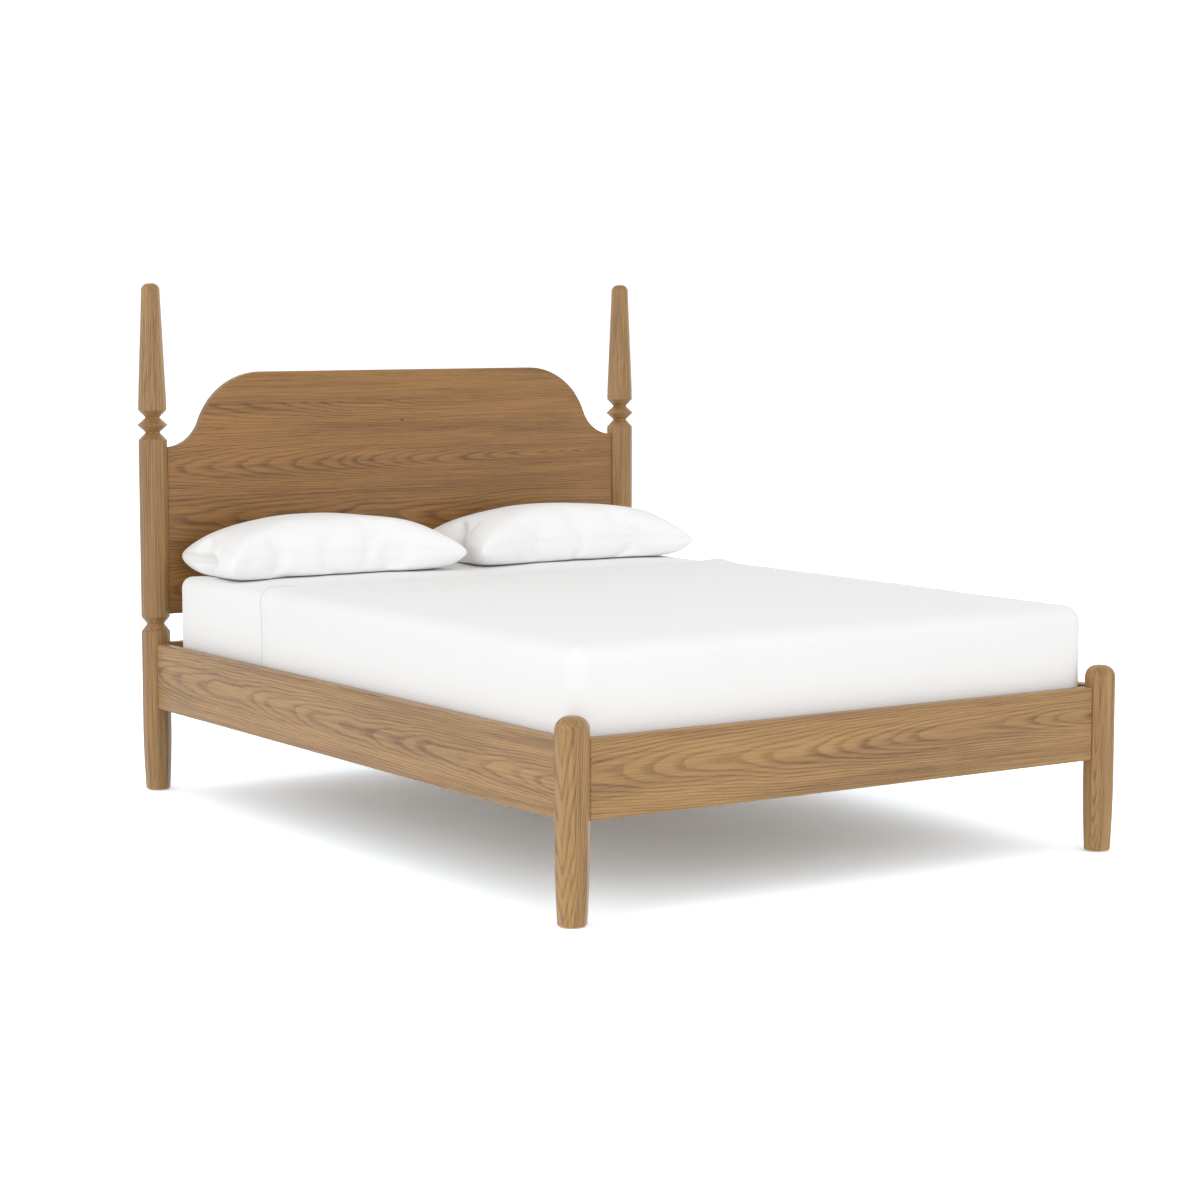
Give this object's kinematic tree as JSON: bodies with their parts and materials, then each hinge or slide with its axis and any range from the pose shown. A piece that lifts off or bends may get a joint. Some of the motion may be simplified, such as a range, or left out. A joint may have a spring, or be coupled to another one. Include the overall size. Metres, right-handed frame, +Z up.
{
  "type": "poster bed",
  "caption": "Oak poster bed with tall carved head posts, low foot posts, an arched headboard, a slatted base on hook-on side rails, a mattress, white sheets and pillows.",
  "frame": {"origin": "on the floor, at the middle of the bed's footprint", "axes": "+Z up, +Y towards the head end, +X towards the right side of the bed seen from its foot"},
  "size_m": [1.681, 2.2476, 1.443],
  "materials": {
    "oak": "satin",
    "pine": "matte",
    "zinc_steel": "satin",
    "nylon": "matte",
    "webbing": "matte",
    "ticking": "matte",
    "white_cotton": "matte"
  },
  "bodies": {
    "bed_frame": {"headpost_left": "oak", "headpost_right": "oak", "footpost_left": "oak", "footpost_right": "oak", "headboard_panel": "oak", "head_rail": "oak", "foot_rail": "oak", "side_rail_left": "oak", "side_rail_right": "oak", "centre_leg": "oak", "slat_ledge_left": "pine", "slat_ledge_right": "pine", "centre_beam": "pine", "slat_01": "pine", "slat_02": "pine", "slat_03": "pine", "slat_04": "pine", "slat_05": "pine", "slat_06": "pine", "slat_07": "pine", "slat_08": "pine", "slat_09": "pine", "slat_10": "pine", "slat_11": "pine", "slat_12": "pine", "slat_13": "pine", "slat_14": "pine", "slat_strap_left": "webbing", "slat_strap_right": "webbing", "beam_hanger_foot": "zinc_steel", "beam_hanger_head": "zinc_steel", "rail_hook_plate_foot_left": "zinc_steel", "post_hook_plate_foot_left": "zinc_steel", "rail_hook_plate_foot_right": "zinc_steel", "post_hook_plate_foot_right": "zinc_steel", "rail_hook_plate_head_left": "zinc_steel", "post_hook_plate_head_left": "zinc_steel", "rail_hook_plate_head_right": "zinc_steel", "post_hook_plate_head_right": "zinc_steel", "leg_hanger_bolt": "zinc_steel", "leg_insert": "zinc_steel", "glide_foot_left": "nylon", "glide_foot_right": "nylon", "glide_head_left": "nylon", "glide_head_right": "nylon"},
    "mattress_and_sheets": {"mattress": "ticking", "fitted_sheet": "white_cotton", "top_cover": "white_cotton"},
    "left_pillow": {"pillow_left": "white_cotton"},
    "right_pillow": {"pillow_right": "white_cotton"},
    "levelling_pad": {"levelling_pad": "nylon"},
    "levelling_stud": {"levelling_stud": "zinc_steel"}
  },
  "joints": [
    {"name": "mattress_lift", "type": "slide", "parent": "bed_frame", "child": "mattress_and_sheets", "axis": [0, 0, 1], "range_m": [0, 0.3]},
    {"name": "left_pillow_lift", "type": "slide", "parent": "mattress_and_sheets", "child": "left_pillow", "axis": [0, 0, 1], "range_m": [0, 0.3]},
    {"name": "right_pillow_lift", "type": "slide", "parent": "mattress_and_sheets", "child": "right_pillow", "axis": [0, 0, 1], "range_m": [0, 0.3]},
    {"name": "levelling_pad_travel", "type": "slide", "parent": "bed_frame", "child": "levelling_pad", "axis": [0, 0, -1], "range_m": [0, 0.01]},
    {"name": "levelling_stud_turn", "type": "hinge", "parent": "levelling_pad", "child": "levelling_stud", "pos_m": [0, 0, 0.011], "axis": [0, 0, -1], "range_deg": [0, 2880]}
  ],
  "couplings": [
    {"joint": "levelling_stud_turn", "follows": "levelling_pad_travel", "rad_per_m": 5026.5}
  ]
}
